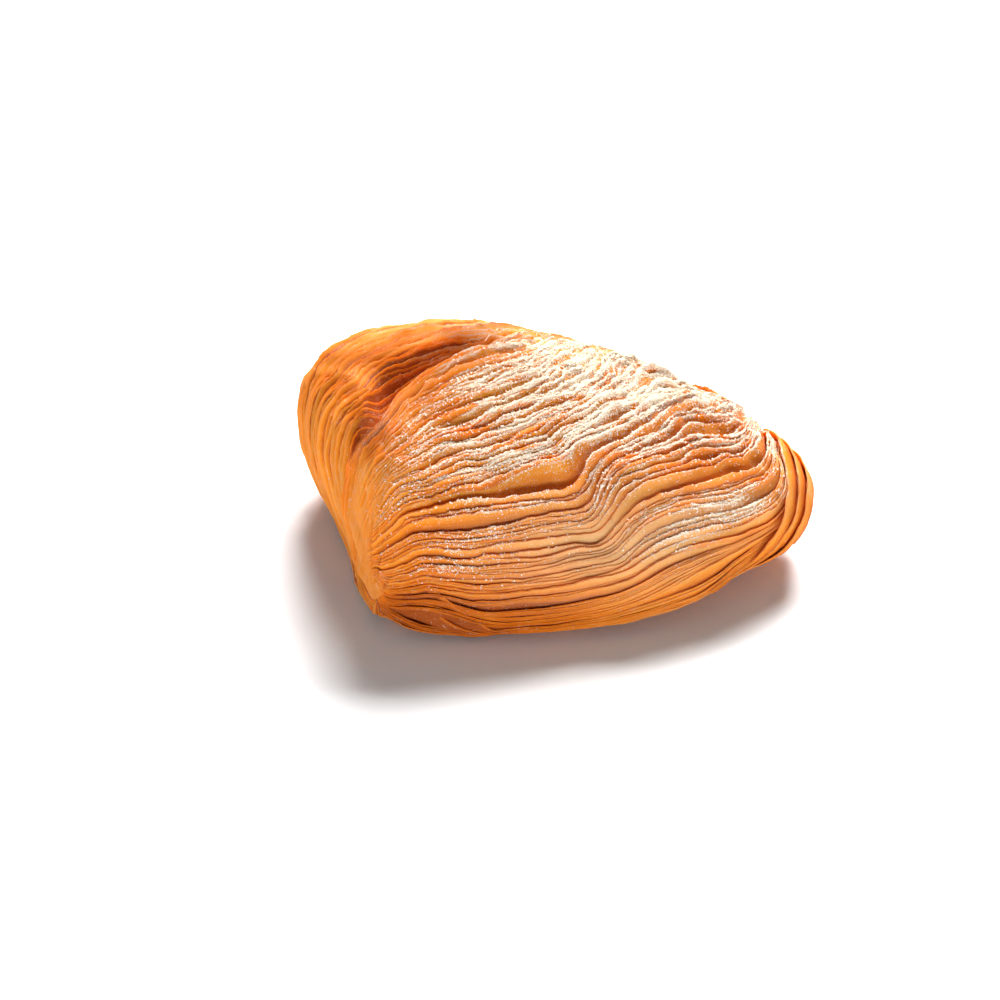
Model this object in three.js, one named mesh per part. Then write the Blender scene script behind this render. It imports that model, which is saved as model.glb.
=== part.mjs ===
// A shell-shaped pastry of many thin leaves, one closed solid. Millimetres, +Z up.
// It lies on its flattened underside. The wide mouth, pressed shut, faces the front right,
// the narrow tip lies at the back left, and every leaf runs between the two corners.
import * as THREE from 'three';
import { mergeVertices } from 'three/addons/utils/BufferGeometryUtils.js';

const { degToRad, lerp, smoothstep } = THREE.MathUtils;

// The line from the near corner to the far corner, seen from above
const cornerTurn = degToRad(40);
const cornerHalf = 48;

// Seven cross-sections from the near corner to the far one. "Out" is measured across the
// corner line, positive toward the mouth, and "height" is above the table.
const sections = {
  mouthOut: [-7, 3, 18, 31, 33, 29, 13.5],
  mouthHeight: [6, 3, 4.5, 6.5, 12, 12, 15],
  crestOut: [-9, -16, -26, -26.5, -19.5, 0, 2],
  crestHeight: [12, 35, 40, 41, 34, 25, 18],
  backOut: [-9.5, -30.5, -67, -64.5, -45, -19.5, -6],
  backHeight: [9, 18, 22, 18.5, 17.5, 15, 15],
  underHeight: [3, 1, -0.8, -0.8, -0.8, 2.5, 15],
};

// How full each quarter of a cross-section is: 2 is an ellipse, more is squarer
const frontFullness = 1.75;
const backFullness = 2.2;
const frontUnderFullness = 3.0;
const backUnderFullness = 2.7;

// Leaves: from the mouth edge over the crest to the tip, then flattened ones underneath
const bodyLeaves = 25;
const tipLeaves = 11;
const underLeaves = 12;
const rowsPerLeaf = 3;
const lengthSteps = 44;
const lipRise = 0.5;
const footDepth = 1.3;
const underRelief = 0.2;
const fullPitch = 2.4;
const cornerFade = 0.1;
const stepRun = 0.002;

// The open fold between the body and the tip
const foldDepth = 4.2;
const foldWidth = 0.032;
const foldSet = 0.012;

// Pockets where two leaves gape: along (0 to 1 from near to far corner), round (0 at the
// mouth edge, 1 at the back edge), half length along, and depth in millimetres
const pockets = [
  { along: 0.48, round: 0.275, reach: 0.09, depth: 2.6 },
  { along: 0.64, round: 0.300, reach: 0.09, depth: 2.2 },
  { along: 0.70, round: 0.220, reach: 0.07, depth: 2.4 },
  { along: 0.36, round: 0.400, reach: 0.10, depth: 1.6 },
];
const pocketWidth = 0.014;

// The pressed dent that crosses the leaves on the front
const dent = { along: 0.44, round: 0.18, reach: 0.05, spread: 0.09, depth: 1.6 };

// A repeatable number from 0 to 1 for any pair of whole numbers
function scatter(a, b) {
  const wave = Math.sin(a * 12.9898 + b * 78.233) * 43758.5453;
  return wave - Math.floor(wave);
}

// A smooth curve through evenly spaced values, level at both ends
function through(values, along) {
  const last = values.length - 1;
  const place = Math.min(along * last, last - 1e-9);
  const i = Math.floor(place);
  const f = place - i;
  const before = values[Math.abs(i - 1)];
  const after = values[i + 2 > last ? last - 1 : i + 2];
  const [from, to] = [values[i], values[i + 1]];
  const bend = 2 * before - 5 * from + 4 * to - after;
  return from + 0.5 * f * ((to - before) + f * (bend + f * (3 * (from - to) + after - before)));
}

function bell(distance, width) {
  return Math.exp(-((distance / width) ** 2));
}

// The body's lowest free edge dips under the mouth near the left and climbs as a lip at
// the far corner; its highest one is the rim of the open fold, which turns down at the left
function leftTurn(along) {
  return 0.55 * (1 - smoothstep(along, 0.10, 0.17)) + 0.08 * (1 - smoothstep(along, 0.15, 0.25));
}

function bodyStart(along) {
  return 0.02 - 0.08 * bell(along - 0.33, 0.15) + 0.20 * smoothstep(along, 0.70, 0.90);
}

function bodyEnd(along) {
  return 0.50 + leftTurn(along) + 0.10 * smoothstep(along, 0.52, 0.85);
}

function tipEnd(along) {
  return 1.04 + 0.22 * (1 - smoothstep(along, 0.1, 0.2));
}

// Round position of a body leaf's edge: share runs 0 to 1 from the first edge to the rim
function bodyFlow(share, along) {
  const straight = lerp(bodyStart(along), bodyEnd(along) - leftTurn(along), share);
  const turn = leftTurn(along) * (0.25 * share + 0.75 * share ** 6);
  const hump = 0.045 * bell(along - 0.555, 0.07) * bell(share - 0.36, 0.16);
  const dip = 0.030 * bell(along - 0.67, 0.05) * bell(share - 0.25, 0.14);
  const pinch = 0.014 * bell(along - 0.43, 0.05) * bell(share - 0.35, 0.2);
  return straight + turn + hump - dip - pinch;
}

function tipFlow(share, along) {
  const crowd = 1 + 3 * (1 - smoothstep(along, 0.18, 0.31));
  return lerp(bodyEnd(along), tipEnd(along), lerp(1 - (1 - share) ** crowd, share, 0.12));
}

// A point of the plain body: along runs 0 to 1 between the corners, and round runs from
// the mouth edge (0) over the crest to the back edge (1) and back underneath (2)
function bodyPoint(along, round) {
  const bend = Math.PI * along;
  const station = Object.fromEntries(
    Object.entries(sections).map(([name, values]) => [name, through(values, along)]));
  const turn = Math.PI * round;
  const front = Math.cos(turn) >= 0;
  const above = Math.sin(turn) >= 0;
  const [aboveFullness, underFullness] = front
    ? [frontFullness, frontUnderFullness] : [backFullness, backUnderFullness];
  const fullness = above ? aboveFullness : underFullness;
  const outShare = Math.abs(Math.cos(turn)) ** (2 / fullness);
  const upShare = Math.abs(Math.sin(turn)) ** (2 / fullness);
  const edgeOut = front ? station.mouthOut : station.backOut;
  const edgeHeight = front ? station.mouthHeight : station.backHeight;
  const limit = above ? station.crestHeight : station.underHeight;
  const out = lerp(station.crestOut, edgeOut, outShare);
  const reach = -cornerHalf * Math.cos(bend);
  return new THREE.Vector3(
    reach * Math.cos(cornerTurn) + out * Math.sin(cornerTurn),
    reach * Math.sin(cornerTurn) - out * Math.cos(cornerTurn),
    lerp(edgeHeight, limit, upShare));
}

function outwardAt(along, round) {
  const near = 0.004;
  const a = THREE.MathUtils.clamp(along, 0.02, 0.98);
  const alongStep = bodyPoint(a + near, round).sub(bodyPoint(a - near, round));
  const roundStep = bodyPoint(a, round + near).sub(bodyPoint(a, round - near));
  return alongStep.cross(roundStep).normalize();
}

// Where the free edge of leaf number k runs at this place along: uneven gaps, summed
function unevenGap(k, along) {
  const slow = Math.sin(2 * Math.PI * (1.1 * along + scatter(k, 1)));
  const quick = Math.sin(2 * Math.PI * (2.9 * along + scatter(k, 2)));
  return Math.exp(0.3 * slow + 0.25 * quick);
}

function edgeRule(first, count, flow) {
  return (k, along) => {
    let before = 0;
    let total = 0;
    for (let j = 0; j < count; j += 1) {
      const gap = unevenGap(first + j, along);
      total += gap;
      if (j < k) before += gap;
    }
    return flow(before / total, along);
  };
}

// How far the surface stands out from the plain body
function foldAt(along, round) {
  const fade = smoothstep(along, 0.03, 0.16) * (1 - smoothstep(along, 0.5, 0.66));
  return -foldDepth * fade * bell(round - bodyEnd(along) - foldSet, foldWidth);
}

function pocketAt(along, round) {
  return pockets.reduce((sum, pocket) => sum - pocket.depth
    * bell(along - pocket.along, pocket.reach) * bell(round - pocket.round, pocketWidth), 0);
}

function dentAt(along, round) {
  return -dent.depth * bell(along - dent.along, dent.reach) * bell(round - dent.round, dent.spread);
}

function swellAt(along, round) {
  return 0.5 * Math.sin(9 * along + 5 * round) + 0.35 * Math.sin(17 * along - 11 * round);
}

// The width of a leaf's face, as a share of the width that carries the full relief
function leafPitch(along, lower, upper) {
  return bodyPoint(along, lower).distanceTo(bodyPoint(along, upper)) / fullPitch;
}

// The rows of the surface, leaf by leaf: a sunken foot, a face, and the free edge that
// stands out over the foot of the next leaf
function leafRows() {
  const rows = [];
  const addLeaves = (first, count, flow) => {
    const edge = edgeRule(first, count, flow);
    for (let k = 0; k < count; k += 1) {
      const lip = lipRise * (0.4 + 1.2 * scatter(first + k, 5));
      const foot = -footDepth * (0.5 + scatter(first + k, 6));
      const upper = Math.min(1, (first + k) / bodyLeaves) ** 1.5;
      const calm = (along) => 1 - 1.5 * leftTurn(along) * upper;
      const height = (along) => calm(along)
        * Math.min(1, leafPitch(along, edge(k, along), edge(k + 1, along)));
      for (let r = 0; r < rowsPerLeaf; r += 1) {
        const share = r / (rowsPerLeaf - 1);
        rows.push({
          round: (along) => lerp(edge(k, along) + stepRun, edge(k + 1, along), share),
          relief: (along) => height(along) * lerp(foot, lip, share ** 1.4),
        });
      }
    }
  };
  addLeaves(0, bodyLeaves, bodyFlow);
  addLeaves(bodyLeaves, tipLeaves, tipFlow);
  for (let k = 0; k < underLeaves; k += 1) {
    const share = (k + 1) / (underLeaves + 1);
    rows.push({
      round: (along) => lerp(tipEnd(along), 2 + bodyStart(along), share),
      relief: () => (k % 2 ? underRelief : -underRelief),
    });
  }
  return rows;
}

function surfacePoint(row, along) {
  const round = row.round(along);
  const fade = smoothstep(along, 0, cornerFade) * (1 - smoothstep(along, 1 - cornerFade, 1));
  const rise = row.relief(along) + foldAt(along, round) + pocketAt(along, round)
    + dentAt(along, round) + swellAt(along, round);
  const point = bodyPoint(along, round).addScaledVector(outwardAt(along, round), rise * fade);
  point.z = Math.max(point.z, 0);
  return point;
}

// The sphere grid supplies the closed skin: its meridians become the rows and its
// parallels run between the corners, with a small flat cap at each corner
function pastryGeometry() {
  const rows = leafRows();
  const sphere = new THREE.SphereGeometry(1, rows.length, lengthSteps + 2);
  const position = sphere.getAttribute('position');
  const columns = rows.length + 1;
  const cornerPoints = [0, 1].map((along) => {
    const ring = rows.map((row) => surfacePoint(row, along));
    return ring.reduce((sum, p) => sum.add(p), new THREE.Vector3()).divideScalar(ring.length);
  });
  for (let i = 0; i < position.count; i += 1) {
    const step = Math.floor(i / columns);
    const row = rows[(i % columns) % rows.length];
    let point = surfacePoint(row, (step - 1) / lengthSteps);
    if (step === 0) point = cornerPoints[0];
    if (step === lengthSteps + 2) point = cornerPoints[1];
    position.setXYZ(i, point.x, point.y, point.z);
  }
  sphere.deleteAttribute('normal');
  sphere.deleteAttribute('uv');
  const closed = mergeVertices(sphere, 1e-3);
  closed.computeBoundingBox();
  const { min, max } = closed.boundingBox;
  closed.translate(-(min.x + max.x) / 2, -(min.y + max.y) / 2, -min.z);
  closed.computeVertexNormals();
  return closed;
}

const crust = new THREE.MeshStandardMaterial({ color: '#dc9440', roughness: 0.62, metalness: 0 });
const pastry = new THREE.Mesh(pastryGeometry(), crust);
pastry.name = 'pastry';

const sfogliatella = new THREE.Group();
sfogliatella.add(pastry);

export default sfogliatella;
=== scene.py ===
import math
import bpy
import numpy as np
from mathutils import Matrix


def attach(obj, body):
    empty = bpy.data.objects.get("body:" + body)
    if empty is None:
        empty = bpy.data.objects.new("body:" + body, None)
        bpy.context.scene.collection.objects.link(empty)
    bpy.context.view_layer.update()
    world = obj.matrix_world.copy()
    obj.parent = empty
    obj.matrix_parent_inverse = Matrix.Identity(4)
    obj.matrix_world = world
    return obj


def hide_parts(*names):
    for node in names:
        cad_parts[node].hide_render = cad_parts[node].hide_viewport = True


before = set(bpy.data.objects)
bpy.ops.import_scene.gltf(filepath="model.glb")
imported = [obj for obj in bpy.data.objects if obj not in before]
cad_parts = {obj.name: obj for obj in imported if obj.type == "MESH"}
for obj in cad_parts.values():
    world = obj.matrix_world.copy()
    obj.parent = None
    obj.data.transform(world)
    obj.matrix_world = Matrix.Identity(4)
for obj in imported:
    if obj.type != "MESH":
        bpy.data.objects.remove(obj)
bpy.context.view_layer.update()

mm = 0.001
tiny = 1e-9  # keeps a division safe
rng = np.random.default_rng(21)

# The pastry's plain form, in millimetres, as in the solid. Two directions run over it.
# Along is 0 at the near corner and 1 at the far one.
# Around is 0 at the mouth's edge, 1 at the back edge and 2 at the mouth's edge again, from below.
form = {
    "cornerTurn": math.radians(40),  # line from the near corner to the far one, seen from above
    "cornerHalf": 48,  # half the length of that line
    "mouthOut": [-7, 3, 18, 31, 33, 29, 13.5],  # seven sections: across the line, + toward the mouth
    "mouthHeight": [6, 3, 4.5, 6.5, 12, 12, 15],
    "crestOut": [-9, -16, -26, -26.5, -19.5, 0, 2],
    "crestHeight": [12, 35, 40, 41, 34, 25, 18],
    "backOut": [-9.5, -30.5, -67, -64.5, -45, -19.5, -6],
    "backHeight": [9, 18, 22, 18.5, 17.5, 15, 15],
    "underHeight": [3, 1, -0.8, -0.8, -0.8, 2.5, 15],
    "fullness": {"front": 1.75, "back": 2.2, "frontUnder": 3.0, "backUnder": 2.7},
    "lowest": 0.4,
    "smallStep": 0.004,  # for slopes: half the distance between the two places compared
}


def bell(distance, width):
    return np.exp(-(distance / width) ** 2)


def ease(value, low, high):
    share = np.clip((value - low) / (high - low), 0, 1)
    return share * share * (3 - 2 * share)


def climb(value, amount, start, end):  # an amount that comes in from start to end
    return amount * ease(value, start, end)


def fade(value, amount, start, end):  # an amount that goes away from start to end
    return amount * (1 - ease(value, start, end))


def span(value, rise, fall):
    return ease(value, *rise) * (1 - ease(value, *fall))


def hill(value, amount, middle, reach):
    return amount * bell(value - middle, reach)


def spot(row, along, around):  # amount, middle and reach along, middle and reach around
    amount, alongMiddle, alongReach, aroundMiddle, aroundReach = row
    return amount * bell(along - alongMiddle, alongReach) * bell(around - aroundMiddle, aroundReach)


def withSpots(value, rows, along, around):
    for row in rows:
        value = value + spot(row, along, around)
    return value


def mix(a, b, share):
    return a + (b - a) * share


def lengths(vectors):
    return np.linalg.norm(vectors, axis=-1)


def unit(vectors):
    return vectors / np.maximum(lengths(vectors)[..., None], tiny)


def through(values, along):  # smooth curve through evenly spaced values, level at its ends
    padded = np.array([values[1], *values, values[-2]], float)
    place = np.clip(along, 0, 1) * (len(values) - 1)
    i = np.minimum(place.astype(int), len(values) - 2)
    f = place - i
    before, start, end, after = padded[i], padded[i + 1], padded[i + 2], padded[i + 3]
    bend = 2 * before - 5 * start + 4 * end - after
    return start + 0.5 * f * ((end - before) + f * (bend + f * (3 * (start - end) + after - before)))


def bodyPoint(along, around):
    turn = np.pi * np.mod(around, 2)
    front, above = np.cos(turn) >= 0, np.sin(turn) >= 0
    full = form["fullness"]
    upper = np.where(front, full["front"], full["back"])
    lower = np.where(front, full["frontUnder"], full["backUnder"])
    power = 2 / np.where(above, upper, lower)
    outShare = np.abs(np.cos(turn)) ** power
    upShare = np.abs(np.sin(turn)) ** power
    at = {name: through(form[name], along) for name in form if name.endswith(("Out", "Height"))}
    edgeOut = np.where(front, at["mouthOut"], at["backOut"])
    edgeHeight = np.where(front, at["mouthHeight"], at["backHeight"])
    limit = np.where(above, at["crestHeight"], at["underHeight"])
    out = mix(at["crestOut"], edgeOut, outShare)
    reach = -form["cornerHalf"] * np.cos(np.pi * along)
    c, s = math.cos(form["cornerTurn"]), math.sin(form["cornerTurn"])
    height = np.maximum(mix(edgeHeight, limit, upShare), form["lowest"])
    return np.stack([reach * c + out * s, reach * s - out * c, height], -1)


def outwardAt(along, around):
    a, near = np.clip(along, 0.03, 0.97), form["smallStep"]  # the corners themselves have no direction
    alongStep = bodyPoint(a + near, around) - bodyPoint(a - near, around)
    aroundStep = bodyPoint(a, around + near) - bodyPoint(a, around - near)
    return unit(np.cross(alongStep, aroundStep))


def middleOfBody():
    along, around = np.meshgrid(np.linspace(0, 1, 121), np.linspace(0, 2, 241))
    points = bodyPoint(along, around).reshape(-1, 3)
    return (points.min(0) + points.max(0)) / 2 * [1, 1, 0]


toFrame = -middleOfBody()  # the frame's origin is under the middle of the box

# How the leaves run: where each one lies around the pastry, at every place along it.
# Rows give an amount with its middle and reach, or with its start and end.
flowPlan = {
    "mouth": -0.05,  # the lowest leaf of the body
    "mouthDip": (0.05, 0.33, 0.15),
    "mouthClimb": (0.23, 0.70, 0.90),
    "bodyTop": 0.50,  # the highest leaf of the body
    "overCrest": (0.34, 0.50, 0.89),  # toward the far corner the upper leaves run off over the crest
    "overCrestPower": 1.75,
    "cornerPlace": (0.003, 0.125, 1.6),  # near the first corner the leaves turn over the far side
    "cornerTurn": (1.12, 0.54),
    "cornerSharpness": (2, 6, 3),
    "pastCorner": (0.045, 0.15, 0.27),
    "bends": [  # along and its reach, then share of the leaves and its reach
        (0.065, 0.54, 0.20, 0.43, 0.28),
        (-0.047, 0.65, 0.10, 0.23, 0.15),
        (0.022, 0.28, 0.08, 0.66, 0.3),
        (-0.020, 0.43, 0.035, 0.42, 0.22),
    ],
    "lip": -0.06,  # at both ends the lowest leaves lie over the ends of the others
    "lipNear": (0.21, 0.12, 0.38),
    "lipFar": (0.40, 0.58, 0.92),
    "lipBelow": 0.16,
    "tipEnd": 1.0,
    "tipEndNear": (0.44, 0.18, 0.37),
    "tipOverlap": 0.02,
    "tipCrowd": (5.5, 0.09, 0.305),  # near the corner the tip's leaves crowd together
    "tipEven": 0.06,
    "tipSweep": (0.22, 0.17, 0.05),
    "tipInFold": 0.026,  # how far inside the open fold they begin
}


def cornerTurnAt(along, share):
    first, more, power = flowPlan["cornerPlace"]
    sharp, sharper, sharpPower = flowPlan["cornerSharpness"]
    whole, less = flowPlan["cornerTurn"]
    place = first + more * share ** power
    turn = (whole - less * share) / (1 + (along / place) ** (sharp + sharper * share ** sharpPower))
    amount, start, end = flowPlan["pastCorner"]
    return turn + fade(along, amount * share, start, end)


def bodyStart(along):
    dip = hill(along, *flowPlan["mouthDip"])
    return flowPlan["mouth"] - dip + climb(along, *flowPlan["mouthClimb"])


def bodyFlow(share, along):
    rise = climb(along, *flowPlan["overCrest"]) * share ** flowPlan["overCrestPower"]
    straight = mix(bodyStart(along), flowPlan["bodyTop"], share) + rise
    return withSpots(straight + cornerTurnAt(along, share), flowPlan["bends"], along, share)


def bodyEnd(along):
    return bodyFlow(1.0, along)


def lipTop(along):
    dip = hill(along, *flowPlan["mouthDip"])
    near, far = fade(along, *flowPlan["lipNear"]), climb(along, *flowPlan["lipFar"])
    return flowPlan["lip"] - dip + near + far


def lipFlow(share, along):
    return mix(bodyStart(along) - flowPlan["lipBelow"], lipTop(along), share)


def tipEnd(along):
    return flowPlan["tipEnd"] + fade(along, *flowPlan["tipEndNear"])


def tipFlow(share, along):
    crowd = 1 + fade(along, *flowPlan["tipCrowd"])
    start = bodyEnd(along) + flowPlan["tipInFold"] * foldFade(along)
    share = mix(1 - (1 - share) ** crowd, share, flowPlan["tipEven"])
    sweep = hill(along, *flowPlan["tipSweep"]) * np.sin(np.pi * share)
    return mix(start, tipEnd(along) + flowPlan["tipOverlap"], share) + sweep


def underFlow(share, along):
    return mix(2 + bodyStart(along), tipEnd(along), share)


# The relief that every leaf of a group follows, in millimetres.
reliefPlan = {
    "ends": ((0, 0.1), (0.93, 1)),  # it comes in after one corner and goes before the other
    "waves": [(0.4, 9, 5), (0.2, 17, -11)],  # height, turns along, turns around
    "swells": [
        (-2.8, 0.17, 0.07, 1.17, 0.13),  # slimmer under the lobe
        (-2.4, 0.34, 0.08, 0.89, 0.12),  # and rounder over it
    ],
    "dent": (-1.8, 0.427, 0.040, 0.16, 0.075),  # pressed across the front
    "foldAlong": ((0.05, 0.18), (0.44, 0.58)),
    "foldDepth": 7.2,  # the open fold: a drop behind the rim and a wall up to the tip
    "foldDrop": (-0.03, 0.0),
    "foldWall": (0.020, 0.075),
    "foldRim": (1.3, 0.03),
    "fineHills": 0.35,
    "lipFar": ((0.58, 0.72), (0.95, 1)),
    "lipNear": (0.45, 0.02, 0.08),
    "lipNearEnd": (0.25, 0.42),
    "lipHeight": (-0.9, 1.9),
    "lipStart": -0.02,
    "underLip": 0.8,  # how much lower the body lies under a lip
    "underLipEdge": (-0.02, 0.06),
}


def lipRoom(along):
    near = climb(along, *reliefPlan["lipNear"]) * (1 - ease(along, *reliefPlan["lipNearEnd"]))
    return span(along, *reliefPlan["lipFar"]) + near


def foldFade(along):
    return span(along, *reliefPlan["foldAlong"])


def foldAt(along, around):
    beyond = around - bodyEnd(along)
    drop = -reliefPlan["foldDepth"] * foldFade(along) * ease(beyond, *reliefPlan["foldDrop"])
    return drop * (1 - ease(beyond, *reliefPlan["foldWall"]))


def swellAt(along, around):
    waves = sum(height * np.sin(a * along + b * around) for height, a, b in reliefPlan["waves"])
    return withSpots(waves, reliefPlan["swells"], along, around)


def standOutAt(name, along, around):
    hills = leafPlan[name]["hills"]
    ends = span(along, *reliefPlan["ends"])
    if name == "under":
        return hills * broadHills(along, around) * ends
    if name == "lip":
        lowest, lift = reliefPlan["lipHeight"]
        start = ease(around - bodyStart(along), -flowPlan["lipBelow"], reliefPlan["lipStart"])
        return lowest + lift * (lipRoom(along) * start) + hills * broadHills(along, around) * ends
    rise = swellAt(along, around) * ends
    if name == "tip":
        return rise + ends * hills * broadHills(along, around) + foldAt(along, around)
    fine = reliefPlan["fineHills"] * fineHills(along, around)
    rise = rise + ends * (hills * broadHills(along, around) + fine)
    height, reach = reliefPlan["foldRim"]
    rim = height * foldFade(along) * bell(around - bodyEnd(along), reach)
    below = lipRoom(along) * (1 - ease(around - lipTop(along), *reliefPlan["underLipEdge"]))
    return rise + rim - reliefPlan["underLip"] * below + spot(reliefPlan["dent"], along, around)


# The leaves, in millimetres. Way is 1 where their free edges look onward around, -1 where back.
# Uneven is how much the gaps between them differ, and a bunch above 1 crowds the first ones.
# FirstPitch is how far the first one shows.
leafPlan = {
    "body": {
        "count": 86, "flow": bodyFlow, "way": 1, "slope": 0.80, "rise": 0.20, "hills": 0.55,
        "uneven": 0.52, "bunch": 1, "firstPitch": 3, "smallGapes": 70,
        "gapes": [  # the leaves part here: along, around, half length, share upward, share downward
            (0.40, 0.262, 0.085, 0.024, 0.010),
            (0.70, 0.285, 0.060, 0.022, 0.008),
            (0.76, 0.360, 0.050, 0.013, 0.005),
            (0.55, 0.330, 0.050, 0.010, 0.004),
            (0.62, 0.010, 0.120, 0.020, 0.008),
            (0.15, 0.030, 0.080, 0.040, 0.015),
            (0.30, 0.350, 0.100, 0.009, 0.004),
            (0.56, 0.400, 0.080, 0.008, 0.004),
        ]},
    "tip": {
        "count": 46, "flow": tipFlow, "way": 1, "slope": 0.90, "rise": 0.35, "hills": 0.35,
        "uneven": 0.60, "bunch": 1.5, "firstPitch": 4, "smallGapes": 40, "gapes": []},
    "lip": {
        "count": 5, "flow": lipFlow, "way": 1, "slope": 0.25, "rise": 0.3, "hills": 0.3,
        "uneven": 0.4, "bunch": 1, "firstPitch": 3, "smallGapes": 0, "gapes": []},
    "under": {
        "count": 17, "flow": underFlow, "way": -1, "slope": 0.10, "rise": -0.5, "hills": 0.1,
        "uneven": 0.30, "bunch": 1, "firstPitch": 3, "smallGapes": 0, "gapes": []},
    "gapeCrowd": 0.05,  # how far around a gape pushes its neighbours
    "smallGape": {"along": (0.15, 0.92), "reach": (0.03, 0.08), "up": (0.002, 0.008), "down": 0.3,
                  "fromEnds": 4},
    "stepsAlong": 420,
    "stepsAcross": 4,
    "stepsPower": 1.8,  # closer steps at the free edge
    "thickness": 0.30,
    "fullThicknessAt": 0.7,  # the pitch from which a leaf has its whole thickness
    "thinnest": 0.3,  # share of it where the leaves are closest
    "wallLeast": 0.2,
    "smoothAngle": 50,
    "deepest": 3.2,
    "tuck": 1.9,  # how far a leaf runs on under the one before it
    "underNext": (0.6, 0, 1.2),  # and how much lower it lies there
    "leastPitch": 0.3,
    "ends": ((0, 0.04), (0.95, 1)),
    "nearCorner": (0.0, 0.022),
    "farCorner": (0.982, 1),
    "overFloor": 0.02,
    "leastSpeed": 20,
    "leastLean": 0.12,
    "leanRounds": 2,
    "pitchRounds": 6,
    "perPiece": 12,
}

# How ragged and wavy the leaves are. Ripples are an amount in millimetres and a number of knots.
raggedPlan = {
    "all": 0.7,
    "crown": (1.6, 0.72, 0.20, 0.48, 0.14),  # the top is the most ragged
    "mouth": (0.4, 0.02, 0.12),  # and the mouth's edge the least
    "band": (-0.3, 0.60, 0.12, 0.125, 0.04),
    "farSide": (0.7, 0.53, 0.08, 0.58, 0.06),
    "calmFold": (0.6, 0.03, 0.05),
    "randomSpread": 0.6,
    "gaps": [(0.3, 4)],
    "torn": [(0.35, 36), (0.16, 90), (0.12, 220)],
    "curl": [(0.35, 16), (0.14, 50)],
    "curlMean": 0.15,
    "curlLeast": -0.1,
    "curlReach": 0.45,
    "stand": [(0.40, 9)],
    "standEach": 0.15,
    "broadSway": 0.40,
    "fineSway": 0.35,
    "fullPitch": {"room": 0.45, "rough": 1.0, "stand": 1.2},  # closer leaves have less of each
    "dustBroad": (0.9, 14),  # how unevenly the sugar catches on a leaf
    "dustFine": (0.7, 40),
    "dustRange": (0.15, 2.2),
}

# Where the leaves lie flatter, as a share of their slope.
flatPlan = {
    "front": (0.35, 0.16, 0.24),
    "band": (0.4, 0.60, 0.13, 0.125, 0.03),
    "farEnd": (0.4, 0.80, 0.90),
    "farEndHeight": (0.2, 0.35),
    "mouth": (0.55, 0.03, 0.09),
    "mouthFrom": (0.3, 0.4),
    "lowest": (0.5, -0.03, 0.01),
    "crown": (0.25, 0.70, 0.18, 0.45, 0.12),
    "most": 0.6,
}

# Smooth random hills that all the leaves share: the number of cells along and around.
fieldPlan = {
    "broadHills": (13, 34), "fineHills": (30, 70), "broadSway": (12, 30), "fineSway": (32, 60)}
even = np.linspace(0, 1, leafPlan["stepsAlong"] + 1)
along = 0.45 * even + 0.55 * even ** 2  # closer steps where the leaves turn


def ripple(count, knots):  # smooth random waves along each leaf, about -1 to 1
    values = rng.normal(size=(count, knots + 2)) * raggedPlan["randomSpread"]
    place = along * knots
    i = place.astype(int)
    return mix(values[:, i], values[:, i + 1], ease(place - i, 0, 1))


def ripples(count, rows, start=0.0):
    return sum((amount * ripple(count, knots) for amount, knots in rows), start)


def wavyField(alongCells, aroundCells):
    hills = rng.normal(size=(alongCells + 2, aroundCells + 2)) * raggedPlan["randomSpread"]

    def height(along, around):
        x = np.clip(along, 0, 1) * alongCells
        y = np.clip((around + 0.2) / 2.4, 0, 1) * aroundCells
        i, j = x.astype(int), y.astype(int)
        f, g = ease(x - i, 0, 1), ease(y - j, 0, 1)
        lower = mix(hills[i, j], hills[i + 1, j], f)
        return mix(lower, mix(hills[i, j + 1], hills[i + 1, j + 1], f), g)
    return height


broadHills, fineHills, broadSway, fineSway = [wavyField(*cells) for cells in fieldPlan.values()]


def evened(values, rounds):  # blends each leaf's values with its neighbours'
    for _ in range(rounds):
        padded = np.concatenate([values[:1], values, values[-1:]])
        values = (padded[:-2] + 2 * padded[1:-1] + padded[2:]) / 4
    return values


def partLeaves(edge, gapes):  # opens a gap above one leaf and crowds its neighbours
    for at, around, reach, up, down in gapes:
        column = np.searchsorted(along, at)
        k = min(int((edge[:, column] < around).sum()), len(edge) - 1)
        push = bell(along - at, reach) * np.exp(-np.abs(edge - edge[k]) / leafPlan["gapeCrowd"])
        upper = np.arange(len(edge))[:, None] >= k
        edge = edge + push * np.where(upper, up, -down)
    return edge


def smallGapes(count, edge):
    gapes, plan = [], leafPlan["smallGape"]
    for _ in range(count):
        at = rng.uniform(*plan["along"])
        k = rng.integers(plan["fromEnds"], len(edge) - plan["fromEnds"])
        reach, up = rng.uniform(*plan["reach"]), rng.uniform(*plan["up"])
        around = edge[k, np.searchsorted(along, at)] - 1e-6  # just below the leaf's own edge
        gapes.append((at, around, reach, up, up * plan["down"]))
    return gapes


def roughAt(along, around):
    plan = raggedPlan
    rough = plan["all"] + spot(plan["crown"], along, around)
    rough = rough - fade(around, *plan["mouth"]) + spot(plan["band"], along, around)
    rough = rough + spot(plan["farSide"], along, around) * (1 - foldFade(along))
    less, middle, reach = plan["calmFold"]
    beyond = around - bodyEnd(along)
    return rough * (1 - less * foldFade(along) * bell(beyond - middle, reach))


def slopeAt(group, along, around):
    plan = flatPlan
    flat = fade(around, *plan["front"]) + spot(plan["band"], along, around)
    flat = flat + climb(along, *plan["farEnd"]) * (1 - ease(around, *plan["farEndHeight"]))
    flat = flat + fade(around, *plan["mouth"]) * ease(along, *plan["mouthFrom"])
    flat = flat + fade(around - bodyStart(along), *plan["lowest"])
    flat = flat + spot(plan["crown"], along, around)
    return group["slope"] * (1 - np.clip(flat, 0, plan["most"]))


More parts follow.
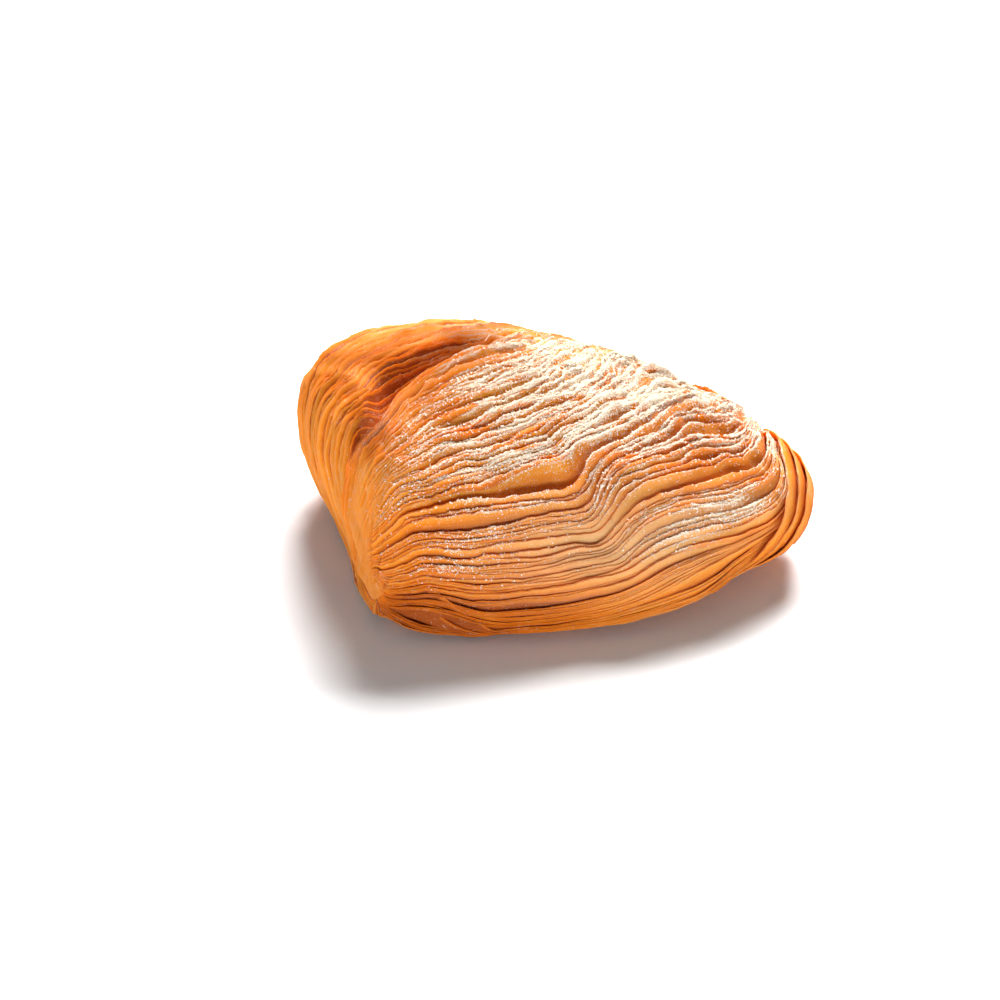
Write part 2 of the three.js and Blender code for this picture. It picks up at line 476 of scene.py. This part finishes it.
def placeEdges(group):  # where the leaves' free edges lie around the pastry
    count, flow = group["count"], group["flow"]
    gap = np.exp(ripples(count, raggedPlan["gaps"], group["uneven"] * rng.normal(size=(count, 1))))
    share = np.cumsum(gap, 0) - gap[:1]
    edge = flow((share / share[-1:]) ** group["bunch"], along)
    edge = partLeaves(edge, smallGapes(group["smallGapes"], edge))
    edge = partLeaves(edge, group["gapes"])
    first, last = flow(0.0, along), flow(1.0, along)
    whole = edge[-1] - edge[0]
    whole = np.where(np.abs(whole) < 1e-6, 1, whole)
    return first + (edge - edge[0]) * (last - first) / whole


def speedAcross(edge):  # millimetres across a leaf for each step around
    step = form["smallStep"]
    run = bodyPoint(along[None], edge + step) - bodyPoint(along[None], edge - step)
    speed = lengths(run) / (2 * step)
    follow = np.gradient(bodyPoint(along[None], edge), axis=1)
    lean = lengths(np.cross(run, follow))
    lean = lean / np.maximum(lengths(run) * lengths(follow), tiny)
    lean = np.clip(evened(lean, leafPlan["leanRounds"]), leafPlan["leastLean"], 1)
    return np.maximum(speed, leafPlan["leastSpeed"]) * lean


def gatherEnds(points, a):  # every leaf runs into the two corners
    nearShare = 1 - ease(a, *leafPlan["nearCorner"])
    farShare = ease(a, *leafPlan["farCorner"])
    for end, share in ((0.0, nearShare), (1.0, farShare)):
        corner = bodyPoint(end, np.linspace(0, 2, 41)).mean(0) + toFrame
        points = mix(points, corner, share[..., None])
    points[..., 2] = np.maximum(points[..., 2], leafPlan["overFloor"])
    return points


def layLeaves(name):
    group, plan, ragged = leafPlan[name], leafPlan, raggedPlan
    count, way = group["count"], group["way"]
    edge = placeEdges(group)
    speed = speedAcross(edge)
    before = edge[:1] - way * group["firstPitch"] / speed[:1]
    pitch = np.abs(np.diff(edge, axis=0, prepend=before)) * speed
    ends = span(along, *plan["ends"])
    spread = evened(pitch, plan["pitchRounds"])
    full = {kind: np.clip(spread / wide, 0, 1) for kind, wide in ragged["fullPitch"].items()}
    room = full["room"] * ends
    rough = roughAt(along[None], edge) * full["rough"] * ends
    sway = ragged["broadSway"] * broadSway(along[None], edge)
    sway = sway + ragged["fineSway"] * fineSway(along[None], edge)
    edge = edge + way * (rough * sway) / speed
    torn = rough * ripples(count, ragged["torn"])
    curl = rough * np.maximum(ripples(count, ragged["curl"], ragged["curlMean"]), ragged["curlLeast"])
    each = ragged["standEach"] * rng.normal(size=(count, 1))
    stand = ripples(count, ragged["stand"], each) * full["stand"]
    steps = (np.arange(plan["stepsAcross"] + 1) / plan["stepsAcross"]) ** plan["stepsPower"]
    reach = pitch + plan["tuck"] * np.clip(pitch, plan["leastPitch"], 1)
    back = (reach + torn)[..., None] * steps  # from the torn edge inward
    below = back - torn[..., None]  # from the untorn edge inward
    a = np.broadcast_to(along[None, :, None], back.shape)
    around = edge[..., None] - way * below / speed[..., None]
    sink = plan["deepest"] * (1 - np.exp(-slopeAt(group, a, around) * below / plan["deepest"]))
    hidden = climb(below - np.clip(pitch, plan["leastPitch"], None)[..., None], *plan["underNext"])
    rise = (group["rise"] + stand[..., None] - sink - hidden) * room[..., None]
    rise = rise + curl[..., None] * np.exp(-back / ragged["curlReach"])
    rise = rise + standOutAt(name, a, around)
    points = gatherEnds(bodyPoint(a, around) + outwardAt(a, around) * rise[..., None] + toFrame, a)
    face = np.cross(np.gradient(points, axis=2), np.gradient(points, axis=1)) * way
    broad, broadKnots = ragged["dustBroad"]
    fine, fineKnots = ragged["dustFine"]
    catch = 1 + broad * evened(ripple(count, broadKnots), 1) + fine * ripple(count, fineKnots)
    return {"points": points, "around": around, "back": back, "pitch": pitch, "way": way,
            "along": a, "upward": unit(face)[..., 2], "catch": np.clip(catch, *ragged["dustRange"])}


# How the leaves are baked, from 0 for pale to 1 for dark, with painted shade in the gaps between the
# leaves and in the open fold, and painted highlights on the rims beyond the fold.
bakeAndShadePlan = {
    "all": 0.44,
    "nearMouth": (0.38, 0.28, 0.45),
    "nearMouthAround": (-0.02, 0.12),
    # painted shade along and inside the open fold
    "overFold": (0.45, 0.20, 0.08, 0.01, 0.05),
    "insideFold": 0.50,
    "insideFoldFrom": (-0.008, 0.006),
    "insideFoldUntil": (0.055, 0.10),
    "mouth": (0.10, -0.04, 0.02),
    "nearLip": (0.26, 0.25, 0.42),
    "nearLipEdge": (-0.01, 0.03),
    "spots": [
        (-0.34, 0.43, 0.12, 0.15, 0.085),
        (-0.16, 0.62, 0.16, 0.09, 0.07),
        (-0.42, 0.54, 0.12, 0.60, 0.08),
        (0.16, 0.38, 0.06, 0.04, 0.04),
        # paler over the top: a painted glow of light in the gaps there
        (-0.24, 0.66, 0.22, 0.48, 0.13),
        (0.12, 0.72, 0.12, 0.31, 0.07),
    ],
    "nearFront": (0.06, 0.25, 0.42),
    "nearFrontAround": (0.06, 0.08),
    "underside": (0.22, 1.05, 1.25),
    "tone": 0.14,  # from leaf to leaf
    "depth": 0.40,  # painted shade between the leaves, darker deeper in each gap
    "mostDepth": 1.1,
    "lobeEdge": (0.02, 0.06),  # beyond the fold the painted shade between the leaves is deeper and the rims get a painted highlight
    "lobeGapShade": 0.36,
    "lobeRimHighlight": (0.18, 0.25),
}

# Where the sugar fell: the coat and the grains follow the first, the thinnest dust the second.
sugarPlaces = {
    "spots": [
        (0.85, 0.67, 0.18, 0.41, 0.13),  # the top
        (0.34, 0.38, 0.24, 0.33, 0.13),  # the middle
        (0.42, 0.60, 0.12, 0.135, 0.04),  # the band across the front
        (0.08, 0.72, 0.10, 0.24, 0.08),  # between the band and the top
        (0.22, 0.24, 0.10, 0.165, 0.05),  # near the first corner
        (0.16, 0.50, 0.10, 0.60, 0.08),  # behind the crest
    ],
    "all": 0.05,
    "most": 0.8,
    "shadedPocket": (-0.5, 0.69, 0.08, 0.315, 0.025),
    "beforeFold": 0.25,
    "beforeFoldFrom": (-0.07, -0.01),
    "back": (0.68, 0.9),
    "mouth": (-0.02, 0.08),
    "level": (1.3, 0.1),  # it lies where a leaf faces up
    "onSlope": 0.35,
}
hazePlaces = {
    "front": (0.42, 0.42, 0.15, 0.14, 0.07),
    "band": (0.14, 0.62, 0.18, 0.12, 0.08),
    "foldRim": (0.12, 0.24, 0.09, -0.012, 0.02),
    "middle": (0.03, 0.40, 0.25, 0.30, 0.14),
    "all": 0.005,
}


def bakeAndShadeAt(along, around):
    plan = bakeAndShadePlan
    low = np.mod(around, 2)
    low = np.where(low > 1.5, low - 2, low)  # under the mouth's edge it runs on below 0
    beyond = around - bodyEnd(along)
    middle, reach = plan["nearMouthAround"]
    bake = plan["all"] + fade(along, *plan["nearMouth"]) * bell(low - middle, reach)
    # painted shade along and inside the open fold
    bake = bake + spot(plan["overFold"], along, beyond)
    inside = plan["insideFold"] * foldFade(along) * ease(beyond, *plan["insideFoldFrom"])
    bake = bake + inside * (1 - ease(beyond, *plan["insideFoldUntil"]))
    bake = bake + fade(low, *plan["mouth"])
    bake = bake + fade(along, *plan["nearLip"]) * (1 - ease(low - lipTop(along), *plan["nearLipEdge"]))
    bake = withSpots(bake, plan["spots"], along, low)
    middle, reach = plan["nearFrontAround"]
    bake = bake + fade(along, *plan["nearFront"]) * bell(low - middle, reach)
    return bake + climb(low, *plan["underside"])


def sugarAt(along, around):
    plan = sugarPlaces
    bare = 1 + spot(plan["shadedPocket"], along, around)
    beyond = around - bodyEnd(along)
    bare = bare * (1 - plan["beforeFold"] * foldFade(along) * ease(beyond, *plan["beforeFoldFrom"]))
    bare = bare * (1 - ease(around, *plan["back"])) * ease(around, *plan["mouth"])
    fallen = withSpots(0.0, plan["spots"], along, around) + plan["all"]
    return np.clip(fallen, 0, plan["most"]) * bare


def hazeAt(along, around):
    plan = hazePlaces
    haze = spot(plan["front"], along, around) + spot(plan["band"], along, around)
    haze = haze + spot(plan["foldRim"], along, around - bodyEnd(along))
    return haze + spot(plan["middle"], along, around) + plan["all"]


def addAttribute(mesh, name, values):
    layer = mesh.attributes.new(name, "FLOAT", "POINT")
    layer.data.foreach_set("value", np.asarray(values, np.float32).ravel())


def vertexPlaces(mesh):
    flat = np.empty(len(mesh.vertices) * 3)
    mesh.vertices.foreach_get("co", flat)
    return flat.reshape(-1, 3)


def moveVertices(mesh, points):
    mesh.vertices.foreach_set("co", (points * mm).ravel())


def selectOnly(objects):
    bpy.ops.object.select_all(action="DESELECT")
    for piece in objects:
        piece.select_set(True)
    bpy.context.view_layer.objects.active = objects[0]


def dressLeaf(mesh, laid, here, tone):  # what the leaf's material reads at each point
    a, around, back = laid["along"][here], laid["around"][here], laid["back"][here]
    pitch = laid["pitch"][here[:2]]
    lobe = ease(around - bodyEnd(a), *bakeAndShadePlan["lobeEdge"])
    # depth runs into each gap between the leaves and drives the painted shade there
    depth = np.clip(back / np.maximum(pitch, leafPlan["leastPitch"]), 0, bakeAndShadePlan["mostDepth"])
    bake = bakeAndShadeAt(a, around) + tone * bakeAndShadePlan["tone"]
    bake = bake + (bakeAndShadePlan["depth"] + bakeAndShadePlan["lobeGapShade"] * lobe) * depth
    # the lobe's rims get a painted highlight
    paler, paleReach = bakeAndShadePlan["lobeRimHighlight"]
    steep, least = sugarPlaces["level"]
    shelf = np.clip(laid["upward"][here] * steep + least, 0, 1)
    onSlope = sugarPlaces["onSlope"]
    sugar = sugarAt(a, around) * (onSlope + (1 - onSlope) * shelf) * laid["catch"][here[:2]]
    addAttribute(mesh, "alongLeaf", a * crustLook["leafLength"])
    addAttribute(mesh, "acrossLeaf", back)
    addAttribute(mesh, "rim", np.exp(-back / (crustLook["rimReach"] - crustLook["lobeRimLess"] * lobe)))
    addAttribute(mesh, "bake", bake - paler * lobe * np.exp(-back / paleReach))
    addAttribute(mesh, "sugar", sugar)
    addAttribute(mesh, "haze", hazeAt(a, around))
    addAttribute(mesh, "tone", np.full(len(a), tone))


def makeLeaf(name, laid, k, tone):
    across, steps = leafPlan["stepsAcross"], leafPlan["stepsAlong"]
    bpy.ops.object.select_all(action="DESELECT")
    bpy.ops.mesh.primitive_grid_add(x_subdivisions=steps, y_subdivisions=across, size=1)
    leaf = bpy.context.object
    leaf.name = leaf.data.name = name
    square = vertexPlaces(leaf.data)
    i = np.rint((square[:, 0] + 0.5) * steps).astype(int)
    j = np.rint((square[:, 1] + 0.5) * across).astype(int)
    if laid["way"] > 0:
        j = across - j  # the far side of the grid is the free edge
    moveVertices(leaf.data, laid["points"][k, i, j])
    dressLeaf(leaf.data, laid, (np.full(len(i), k), i, j), tone)
    thin = leaf.vertex_groups.new(name="thin")
    share = np.clip(laid["pitch"][k, i] / leafPlan["fullThicknessAt"], leafPlan["thinnest"], 1)
    for index, weight in enumerate(share):
        thin.add([index], float(weight), "REPLACE")
    return leaf


def finishLeaves(name, leaves, material):
    selectOnly(leaves)
    bpy.ops.object.join()
    piece = bpy.context.object
    piece.name = piece.data.name = name
    wall = piece.modifiers.new("wall", "SOLIDIFY")
    wall.thickness = leafPlan["thickness"] * mm
    wall.offset = -1
    wall.vertex_group = "thin"
    wall.thickness_vertex_group = leafPlan["wallLeast"]
    bpy.ops.object.modifier_apply(modifier="wall")
    bpy.ops.object.shade_smooth_by_angle(angle=math.radians(leafPlan["smoothAngle"]))
    piece.data.materials.clear()
    piece.data.materials.append(material)
    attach(piece, "root")


class Wire:  # a shader value that takes part in sums
    def __init__(self, net, socket):
        self.net, self.socket = net, socket

    def __add__(self, other):
        return self.net.work("ADD", self, other)

    def __radd__(self, other):
        return self.net.work("ADD", other, self)

    def __sub__(self, other):
        return self.net.work("SUBTRACT", self, other)

    def __rsub__(self, other):
        return self.net.work("SUBTRACT", other, self)

    def __mul__(self, other):
        return self.net.work("MULTIPLY", self, other)

    def __rmul__(self, other):
        return self.net.work("MULTIPLY", other, self)


class Net:  # a material's nodes
    def __init__(self, name):
        self.material = bpy.data.materials.new(name)
        self.material.use_nodes = True
        self.tree = self.material.node_tree
        self.tree.nodes.clear()

    def add(self, kind, settings=None, inputs=None, output=0):
        node = self.tree.nodes.new(kind)
        for key, value in (settings or {}).items():
            if key == "stops":
                self.setStops(node.color_ramp.elements, value)
            else:
                setattr(node, key, value)
        for key, value in (inputs or {}).items():
            if isinstance(value, Wire):
                self.tree.links.new(value.socket, node.inputs[key])
            else:
                node.inputs[key].default_value = value
        return Wire(self, node.outputs[output]) if node.outputs else node

    def setStops(self, stops, values):
        while len(stops) < len(values):
            stops.new(0.5)
        for stop, (place, colour) in zip(stops, values):
            stop.position = place
            stop.color = (*colour, 1)

    def work(self, operation, *values):
        return self.add("ShaderNodeMath", {"operation": operation}, dict(enumerate(values)))

    def step(self, value, low, high):
        return self.add("ShaderNodeMapRange", {"interpolation_type": "SMOOTHSTEP"},
                        {"Value": value, "From Min": low, "From Max": high})

    def attribute(self, name):
        return self.add("ShaderNodeAttribute", {"attribute_name": name}, output=2)

    def place(self):
        return self.add("ShaderNodeTexCoord", output=3)

    def noise(self, vector, scale, detail=3, rough=0.55):
        return self.add("ShaderNodeTexNoise", {}, {
            "Vector": vector, "Scale": scale, "Detail": detail, "Roughness": rough})

    def ramp(self, value, stops):
        return self.add("ShaderNodeValToRGB", {"stops": stops}, {"Fac": value})

    def blend(self, share, first, second):
        return self.add("ShaderNodeMix", {"data_type": "RGBA"}, {0: share, 6: first, 7: second}, 2)

    def bump(self, height, strength, distance):
        return self.add("ShaderNodeBump", {}, {
            "Strength": strength, "Distance": distance, "Height": height})

    def skin(self, inputs):
        return self.add("ShaderNodeBsdfPrincipled", {}, inputs)

    def finish(self, shader):
        self.add("ShaderNodeOutputMaterial", {}, {"Surface": shader})
        return self.material


# The leaves' crust, from pale to dark as it is baked and as painted shade and painted highlights set
# it, and the sugar and dust on it.
crustLook = {
    "pale": (0.96, 0.52, 0.13),
    "light": (0.94, 0.42, 0.045),
    "gold": (0.90, 0.29, 0.014),
    "brown": (0.64, 0.155, 0.013),
    "dark": (0.33, 0.065, 0.008),
    "stops": {"pale": 0.08, "light": 0.30, "gold": 0.50, "brown": 0.78, "dark": 1.0},
    "sugar": (1.0, 0.88, 0.69, 1),
    "haze": (0.90, 0.76, 0.46, 1),
    "through": (0.98, 0.40, 0.02, 1),  # light that comes through a thin leaf
    "leafLength": 110,  # millimetres from corner to corner
    "rimReach": 0.5,  # millimetres in from the torn edge
    "lobeRimLess": 0.2,
    "streaks": (0.22, 2.6, 31.0),  # per millimetre along and across a leaf, and from leaf to leaf
    "blotches": 130.0,
    "clumps": 620.0,
    "grains": 5200.0,
    # painted highlight along the rims
    "rimHighlight": 0.32,
    "paler": 0.04,  # all over
    "streakBake": 0.45,
    "blotchBake": 0.35,
    "sugarCover": (0.25, 3.2, 0.18),  # on the faces, more toward the rims, and less everywhere
    "sugarBroken": {"grain": 3.4, "clump": 1.2, "streak": 1.2},
    "sugarEdge": (0.40, 0.60),
    "mostSugar": 0.9,
    "hazeClumps": (0.4, 1.2),
    "raised": {"streak": 0.8, "grain": 0.2, "sugar": 0.6},
    "glow": (0.28, 0.30),  # share of light that comes through, and more at the rims
    "glowUnderSugar": 0.7,
    "glowWhereDark": 0.8,
    "darkFrom": (0.6, 0.95),
    "bump": (0.7, 0.00018),
    "roughness": 0.55,
    "sugarRoughness": 0.35,
    "shine": 0.06,
}


def leafMaterial():
    net, look = Net("bakedLeaf"), crustLook
    place = net.place()
    alongScale, acrossScale, toneScale = look["streaks"]
    run = net.add("ShaderNodeCombineXYZ", {}, {
        "X": net.attribute("alongLeaf") * alongScale,
        "Y": net.attribute("acrossLeaf") * acrossScale,
        "Z": net.attribute("tone") * toneScale})
    streak = net.noise(run, 1.0, 4, 0.6)
    blotch = net.noise(place, look["blotches"], 3)
    clump = net.noise(place, look["clumps"], 3)
    grain = net.noise(place, look["grains"], 2, 0.7)
    rim = net.attribute("rim")
    # the rims get a painted highlight
    bake = net.attribute("bake") - look["rimHighlight"] * rim - look["paler"]
    bake = bake + (streak - 0.5) * look["streakBake"] + (blotch - 0.5) * look["blotchBake"]
    colour = net.ramp(bake, [(at, look[name]) for name, at in look["stops"].items()])
    onFaces, towardRims, less = look["sugarCover"]
    cover = net.attribute("sugar") * (onFaces + towardRims * rim * rim) - less
    gaps = look["sugarBroken"]
    broken = (grain - 0.5) * gaps["grain"] + (clump - 0.5) * gaps["clump"]
    broken = broken + (streak - 0.5) * gaps["streak"]
    dusted = look["mostSugar"] * net.step(cover - broken, *look["sugarEdge"])
    thin, thick = look["hazeClumps"]
    hazed = net.blend(net.attribute("haze") * (thin + thick * clump), colour, look["haze"])
    height = look["raised"]
    raised = streak * height["streak"] + grain * (height["grain"] + height["sugar"] * dusted)
    skin = net.skin({
        "Base Color": net.blend(dusted, hazed, look["sugar"]),
        "Roughness": look["roughness"] + look["sugarRoughness"] * dusted,
        "Specular IOR Level": look["shine"],
        "Normal": net.bump(raised, *look["bump"])})
    through = net.add("ShaderNodeBsdfTranslucent", {}, {"Color": look["through"]})
    allOver, atRims = look["glow"]
    glow = (allOver + atRims * rim) * (1 - look["glowUnderSugar"] * dusted)
    glow = glow * (1 - look["glowWhereDark"] * net.step(bake, *look["darkFrom"]))
    return net.finish(net.add("ShaderNodeMixShader", {}, {0: glow, 1: skin, 2: through}))


# The dough inside, which shows only between the leaves; its brown to dark colour is partly the baked
# inner face and partly painted shade in those gaps.
corePlan = {
    "around": 128,
    "along": 72,
    "inset": 3.4,  # millimetres under the leaves
    "leastInset": 0.5,
    "insetAlong": ((0.0, 0.2), (0.85, 1)),
    "cornerGap": 0.03,
    "patches": 160.0,
    "crumbs": 1100.0,
    "crumbTone": 0.3,
    "crumbHeight": 0.4,
    # brown to dark: partly inner bake, partly painted shade in the gaps
    "stops": {"brown": 0.3, "dark": 0.8},
    "bump": (0.6, 0.0004),
    "roughness": 0.6,
}


def coreMaterial():
    net = Net("innerDough")
    place = net.place()
    patch = net.noise(place, corePlan["patches"], 4)
    fine = net.noise(place, corePlan["crumbs"], 3)
    colour = net.ramp(patch + (fine - 0.5) * corePlan["crumbTone"], [
        (at, crustLook[name]) for name, at in corePlan["stops"].items()])
    return net.finish(net.skin({
        "Base Color": colour,
        "Roughness": corePlan["roughness"],
        "Normal": net.bump(patch + corePlan["crumbHeight"] * fine, *corePlan["bump"])}))


def makeCore(material):
    bpy.ops.object.select_all(action="DESELECT")
    bpy.ops.mesh.primitive_uv_sphere_add(
        segments=corePlan["around"], ring_count=corePlan["along"], radius=1)
    core = bpy.context.object
    core.name = core.data.name = "pastryCore"
    ball = vertexPlaces(core.data)
    around = np.mod(-np.arctan2(ball[:, 1], ball[:, 0]) / np.pi, 2)
    gap, (rise, fall) = corePlan["cornerGap"], corePlan["insetAlong"]
    a = gap + (1 - 2 * gap) * (np.arccos(np.clip(ball[:, 2], -1, 1)) / np.pi)
    inset = corePlan["inset"] * ease(a, *rise) * (1 - ease(a, *fall)) + corePlan["leastInset"]
    inTip = around > bodyEnd(a)
    standOut = -inset + np.where(inTip, standOutAt("tip", a, around), standOutAt("body", a, around))
    points = bodyPoint(a, around) + outwardAt(a, around) * standOut[:, None] + toFrame
    poles = np.abs(ball[:, 2]) > 0.9999
    for side in (ball[:, 2] > 0, ball[:, 2] < 0):
        ring = side & ~poles & (np.abs(ball[:, 2]) > math.cos(1.5 * math.pi / corePlan["along"]))
        points[side & poles] = points[ring].mean(0)
    moveVertices(core.data, points)
    bpy.ops.object.mode_set(mode="EDIT")
    bpy.ops.mesh.select_all(action="SELECT")
    bpy.ops.mesh.normals_make_consistent(inside=False)
    bpy.ops.object.mode_set(mode="OBJECT")
    bpy.ops.object.shade_smooth()
    core.data.materials.append(material)
    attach(core, "root")
    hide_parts("pastry")


# The sugar grains, in millimetres: on the torn edges, finer on the same rims, and on the faces.
sugarPlan = {
    "edge": {"grains": 44000, "size": (0.10, 0.25), "onEdge": True},
    "rim": {"grains": 48000, "size": (0.05, 0.12), "onEdge": True},
    "face": {"grains": 48000, "size": (0.04, 0.09), "onEdge": False},
}
grainPlan = {
    "squash": (0.7, 1.25),
    "height": 1.4,  # against the half width of its foot
    "clusters": 110,
    "clusterMean": 0.8,
    "clusterAmount": 0.5,
    "leastDust": 0.07,
    "mostFaceDust": 0.45,
    "edgePower": 1.9,
    "facePower": 2,
    "secondRow": 0.35,  # grains just behind the edge, against those on it
    "seenPitch": 1.05,  # faces hold grains only as far in as they show
    "steepest": 0.25,
    "onSide": 0.5,  # share of the edge's grains that sit on its torn side
    "outOfEdge": 0.4,  # how far a grain stands out, in its own size
    "outOfFace": 0.3,
    "white": (1.0, 0.93, 0.83, 1),
    "cream": (0.99, 0.86, 0.68, 1),
    "patches": 900.0,
    "roughness": (0.55, 0.2),
    "bending": 1.5,
    "smoothAngle": 30,
}


def sugarMaterial():
    net = Net("fineSugar")
    patch = net.noise(net.place(), grainPlan["patches"], 2)
    least, more = grainPlan["roughness"]
    return net.finish(net.skin({
        "Base Color": net.blend(patch, grainPlan["white"], grainPlan["cream"]),
        "Roughness": least + more * patch,
        "IOR": grainPlan["bending"]}))


def grainShape():
    bpy.ops.object.select_all(action="DESELECT")
    bpy.ops.mesh.primitive_cone_add(vertices=3, radius1=1, radius2=0, depth=grainPlan["height"])
    grain = bpy.context.object
    corners = np.array([v.co for v in grain.data.vertices])
    faces = np.array([list(f.vertices) for f in grain.data.polygons])
    bpy.ops.object.delete()
    return corners, faces


def randomTurns(count):
    w, x, y, z = unit(rng.normal(size=(count, 4))).T
    return np.stack([
        1 - 2 * (y * y + z * z), 2 * (x * y - z * w), 2 * (x * z + y * w),
        2 * (x * y + z * w), 1 - 2 * (x * x + z * z), 2 * (y * z - x * w),
        2 * (x * z - y * w), 2 * (y * z + x * w), 1 - 2 * (x * x + y * y)], -1).reshape(-1, 3, 3)


def grainWeights(laid, onEdge, alongWay, normal, area):  # how much sugar each small cell holds
    plan = grainPlan
    dust = np.maximum(sugarAt(laid["along"], laid["around"]) - plan["leastDust"], 0)[:, :-1, :-1]
    clusters = plan["clusterMean"] + plan["clusterAmount"] * ripple(len(dust), plan["clusters"])
    patchy = laid["catch"][:, :-1, None] * np.clip(clusters, 0, 2)[:, :-1, None]
    if onEdge:
        weight = np.zeros_like(area)
        edgeDust = dust[:, :, 0] ** plan["edgePower"]
        weight[:, :, 0] = lengths(alongWay[:, :, 0]) * edgeDust * patchy[:, :, 0]
        weight[:, :, 1] = weight[:, :, 0] * plan["secondRow"]
        return weight
    seen = laid["back"][:, :-1, :-1] < laid["pitch"][:, :-1, None] * plan["seenPitch"]
    facing = np.clip(normal[..., 2] + plan["steepest"], 0, 1)
    faceDust = np.minimum(dust, plan["mostFaceDust"]) ** plan["facePower"]
    return area * faceDust * seen * facing * patchy


def placeGrains(laid, plan):  # the grains' middles and sizes
    onEdge, points = plan["onEdge"], laid["points"]
    alongWay = points[:, 1:, :-1] - points[:, :-1, :-1]
    acrossWay = points[:, :-1, 1:] - points[:, :-1, :-1]
    normal = np.cross(acrossWay, alongWay) * laid["way"]
    area = lengths(normal)
    normal = unit(normal)
    weight = grainWeights(laid, onEdge, alongWay, normal, area)
    chosen = rng.choice(weight.size, plan["grains"], p=(weight / weight.sum()).ravel())
    k, i, j = np.unravel_index(chosen, weight.shape)
    count, outward = len(k), normal[k, i, j]
    f, g = rng.random((2, count, 1))
    onSide = (rng.random((count, 1)) < grainPlan["onSide"]) * (j[:, None] == 0) * onEdge
    g = g * (1 - onSide)
    spots = points[k, i, j] + alongWay[k, i, j] * f + acrossWay[k, i, j] * g
    size = rng.uniform(*plan["size"], size=(count, 1))
    if onEdge:
        edgeWay = unit(-acrossWay[k, i, 0])
        spots = spots - onSide * outward * rng.uniform(0, leafPlan["thickness"], size=(count, 1))
        spots = spots + onSide * edgeWay * size * grainPlan["outOfEdge"]
    return spots + (1 - onSide) * outward * size * grainPlan["outOfFace"], size


def scatterGrains(name, laid, plan, shape, material):
    corners, faces = shape
    spots, size = placeGrains(laid, plan)
    count = len(spots)
    squash = rng.uniform(*grainPlan["squash"], size=(count, 1, 3))
    turned = np.einsum("nij,nkj->nki", randomTurns(count), corners[None] * squash)
    cloud = spots[:, None] + turned * size[:, None]
    allFaces = (faces[None] + np.arange(count)[:, None, None] * len(corners)).reshape(-1, 3)
    mesh = bpy.data.meshes.new(name)
    mesh.from_pydata((cloud.reshape(-1, 3) * mm).tolist(), [], allFaces.tolist())
    mesh.update()
    piece = bpy.data.objects.new(name, mesh)
    bpy.context.collection.objects.link(piece)
    selectOnly([piece])
    bpy.ops.object.shade_smooth_by_angle(angle=math.radians(grainPlan["smoothAngle"]))
    mesh.materials.append(material)
    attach(piece, "root")


# The floor, the lights and the camera, in metres and degrees.
setPlan = {
    "lens": 85,
    "distance": 0.532,
    "elevation": 33,
    "target": (-0.01115, 0.01385, 0.0),
    "clip": (0.01, 20),
    "floorSize": 6.0,
    "floorColour": (0.90, 0.90, 0.90, 1),
    "floorRoughness": 0.9,
    "worldColour": (1, 1, 1, 1),
    "worldStrength": 0.17,
}
lightPlan = {
    "softKey": {
        "place": (0.10, 0.62, 0.53), "turn": (-49, 0, -10), "size": (0.48, 0.38), "energy": 28.5},
    "lowFill": {
        "place": (-0.05, -0.80, 0.085), "turn": (85, 0, -4), "size": (1.0, 0.16), "energy": 5.6},
    "sideFill": {
        "place": (-0.80, 0.25, 0.16), "turn": (80, 0, -107), "size": (0.8, 0.28), "energy": 0.9},
}


def makeFloor():
    bpy.ops.object.select_all(action="DESELECT")
    bpy.ops.mesh.primitive_plane_add(size=setPlan["floorSize"], location=(0, 0, 0))
    floor = bpy.context.object
    floor.name = "paleFloor"
    net = Net("paleBoard")
    floor.data.materials.append(net.finish(net.skin({
        "Base Color": setPlan["floorColour"], "Roughness": setPlan["floorRoughness"]})))


def makeLights():
    for name, plan in lightPlan.items():
        bpy.ops.object.light_add(type="AREA", location=plan["place"])
        light = bpy.context.object
        light.name = name
        light.data.shape = "RECTANGLE"
        light.data.size, light.data.size_y = plan["size"]
        light.data.energy = plan["energy"]
        light.rotation_euler = [math.radians(angle) for angle in plan["turn"]]
    world = bpy.data.worlds.new("studio")
    bpy.context.scene.world = world
    world.use_nodes = True
    background = world.node_tree.nodes["Background"]
    background.inputs["Color"].default_value = setPlan["worldColour"]
    background.inputs["Strength"].default_value = setPlan["worldStrength"]
    bpy.context.scene.view_settings.view_transform = "Standard"


def makeCamera():
    e, d = math.radians(setPlan["elevation"]), setPlan["distance"]
    x, y, z = setPlan["target"]
    bpy.ops.object.camera_add(
        location=(x, y - d * math.cos(e), z + d * math.sin(e)),
        rotation=(math.radians(90) - e, 0, 0))
    camera = bpy.context.object
    camera.data.lens = setPlan["lens"]
    camera.data.clip_start, camera.data.clip_end = setPlan["clip"]
    bpy.context.scene.camera = camera


makeFloor()
makeLights()
makeCamera()
print("set ready")

dough, inner, sweet = leafMaterial(), coreMaterial(), sugarMaterial()
makeCore(inner)
print("core ready")

laidGroups = {}
for groupName in ("body", "tip", "lip", "under"):
    group = leafPlan[groupName]
    laid = laidGroups[groupName] = layLeaves(groupName)
    tones = rng.uniform(-1, 1, group["count"])
    for first in range(0, group["count"], leafPlan["perPiece"]):
        last = min(first + leafPlan["perPiece"], group["count"])
        leaves = [makeLeaf(f"leaf{k}", laid, k, tones[k]) for k in range(first, last)]
        finishLeaves(f"{groupName}Leaves{first // leafPlan['perPiece'] + 1}", leaves, dough)
    print("leaves laid:", groupName)

grain = grainShape()
for kind in sugarPlan:
    scatterGrains(f"{kind}Sugar", laidGroups["body"], sugarPlan[kind], grain, sweet)
print("sugar scattered")
